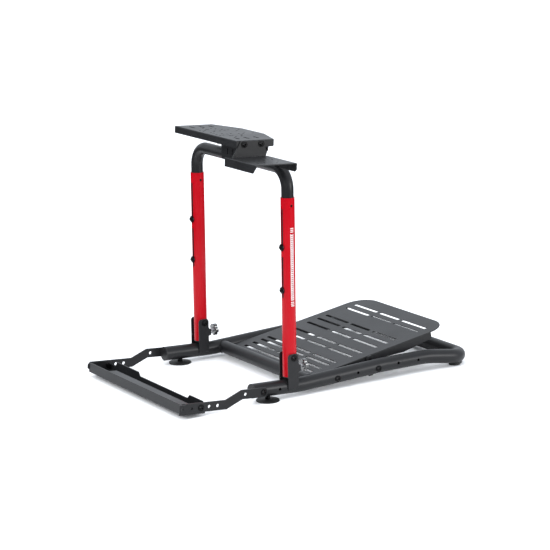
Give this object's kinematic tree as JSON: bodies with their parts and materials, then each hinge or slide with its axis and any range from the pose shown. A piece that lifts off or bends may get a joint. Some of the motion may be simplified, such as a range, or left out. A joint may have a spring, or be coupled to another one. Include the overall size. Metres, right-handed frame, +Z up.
{
  "type": "racing wheel stand",
  "caption": "Folding steel floor stand for a racing wheel, with a tilting wheel plate, shifter plate, slotted pedal plate and a tray that catches chair casters.",
  "frame": {"origin": "on the floor, halfway between the two uprights and straight below their axes", "axes": "+X away from the driver towards the pedal end, +Y to the driver's left, +Z up"},
  "size_m": [1.0202, 0.6001, 0.7374],
  "materials": {
    "black_paint": "satin powder coat",
    "red_paint": "semi-gloss powder coat",
    "black_plastic": "matte",
    "knob_plastic": "gloss",
    "zinc_steel": "bright zinc",
    "rubber": "matte",
    "black_steel": "black oxide"
  },
  "bodies": {
    "base": {"base_frame": "black_paint", "front_cross_tube": "black_paint", "fold_bracket_left": "black_paint", "fold_bracket_right": "black_paint", "end_cap_left": "black_plastic", "end_cap_right": "black_plastic", "rear_foot_left": "rubber", "rear_foot_right": "rubber", "fold_bolts": "black_steel", "pedal_pivot_bolts": "black_steel", "brace_clamp_bolts": "black_steel", "pedal_spacers": "zinc_steel", "strap_pivot_bolts": "black_steel", "base_washers": "black_steel", "base_nuts": "black_steel"},
    "foot_left": {"levelling_foot_left": "rubber", "foot_stem_left": "black_steel"},
    "foot_right": {"levelling_foot_right": "rubber", "foot_stem_right": "black_steel"},
    "knob_left": {"star_knob_left": "knob_plastic", "knob_stud_left": "zinc_steel"},
    "knob_right": {"star_knob_right": "knob_plastic", "knob_stud_right": "zinc_steel"},
    "uprights": {"upright_left": "red_paint", "upright_right": "red_paint", "pivot_sleeve_left": "zinc_steel", "pivot_sleeve_right": "zinc_steel", "upright_plug_left": "black_plastic", "upright_plug_right": "black_plastic", "mast_bush_left": "black_plastic", "mast_bush_right": "black_plastic", "bush_screws": "black_steel"},
    "top_frame": {"mast_bar": "black_paint", "height_bolts": "black_steel", "height_washers": "black_steel", "tilt_saddle": "black_paint", "tilt_bolts": "black_steel", "tilt_nuts": "black_steel"},
    "wheel_deck": {"wheel_plate": "black_paint", "tilt_hanger": "black_paint", "shifter_bracket": "black_paint", "deck_bolts": "black_steel", "deck_washers": "black_steel", "deck_nuts": "black_steel"},
    "pedal_deck": {"pedal_plate": "black_paint", "brace_pins": "black_steel", "brace_pin_nuts": "black_steel"},
    "brace_left": {"brace_left": "black_paint"},
    "brace_right": {"brace_right": "black_paint"},
    "chair_lock": {"chair_strap_left": "black_paint", "chair_strap_right": "black_paint", "caster_tray": "black_paint", "tray_bolts": "black_steel", "tray_washers": "black_steel", "tray_nuts": "black_steel"}
  },
  "joints": [
    {"name": "upright_fold", "type": "hinge", "parent": "base", "child": "uprights", "pos_m": [0, 0, 0.1175], "axis": [0, 1, 0], "range_deg": [0, 75]},
    {"name": "mast_height", "type": "slide", "parent": "uprights", "child": "top_frame", "axis": [0, 0, 1], "range_m": [-0.008, 0.09]},
    {"name": "deck_tilt", "type": "hinge", "parent": "top_frame", "child": "wheel_deck", "pos_m": [0.046, 0, 0.686], "axis": [0, 1, 0], "range_deg": [-6.5, 8.5]},
    {"name": "pedal_tilt", "type": "hinge", "parent": "base", "child": "pedal_deck", "pos_m": [0.1514, 0, 0.0323], "axis": [0, 1, 0], "range_deg": [-8, 0]},
    {"name": "brace_left_swing", "type": "hinge", "parent": "pedal_deck", "child": "brace_left", "pos_m": [0.2938, 0.2246, 0.057], "axis": [0, 1, 0], "range_deg": [0, 3.2]},
    {"name": "brace_right_swing", "type": "hinge", "parent": "pedal_deck", "child": "brace_right", "pos_m": [0.2938, -0.2246, 0.057], "axis": [0, 1, 0], "range_deg": [0, 3.2]},
    {"name": "chair_lock_swing", "type": "hinge", "parent": "base", "child": "chair_lock", "pos_m": [-0.104, 0, 0.0352], "axis": [0, 1, 0], "range_deg": [0, 75]},
    {"name": "knob_left_turn", "type": "hinge", "parent": "base", "child": "knob_left", "pos_m": [0.048, 0.2475, 0.086], "axis": [1, 0, 0], "continuous": true},
    {"name": "knob_right_turn", "type": "hinge", "parent": "base", "child": "knob_right", "pos_m": [0.048, -0.2475, 0.086], "axis": [1, 0, 0], "continuous": true},
    {"name": "foot_left_turn", "type": "hinge", "parent": "base", "child": "foot_left", "pos_m": [-0.0746, 0.2475, 0], "axis": [0, 0, 1], "continuous": true},
    {"name": "foot_right_turn", "type": "hinge", "parent": "base", "child": "foot_right", "pos_m": [-0.0746, -0.2475, 0], "axis": [0, 0, 1], "continuous": true}
  ],
  "couplings": [
    {"joint": "brace_left_swing", "follows": "pedal_tilt", "ratio": -0.39},
    {"joint": "brace_right_swing", "follows": "pedal_tilt", "ratio": -0.39}
  ]
}
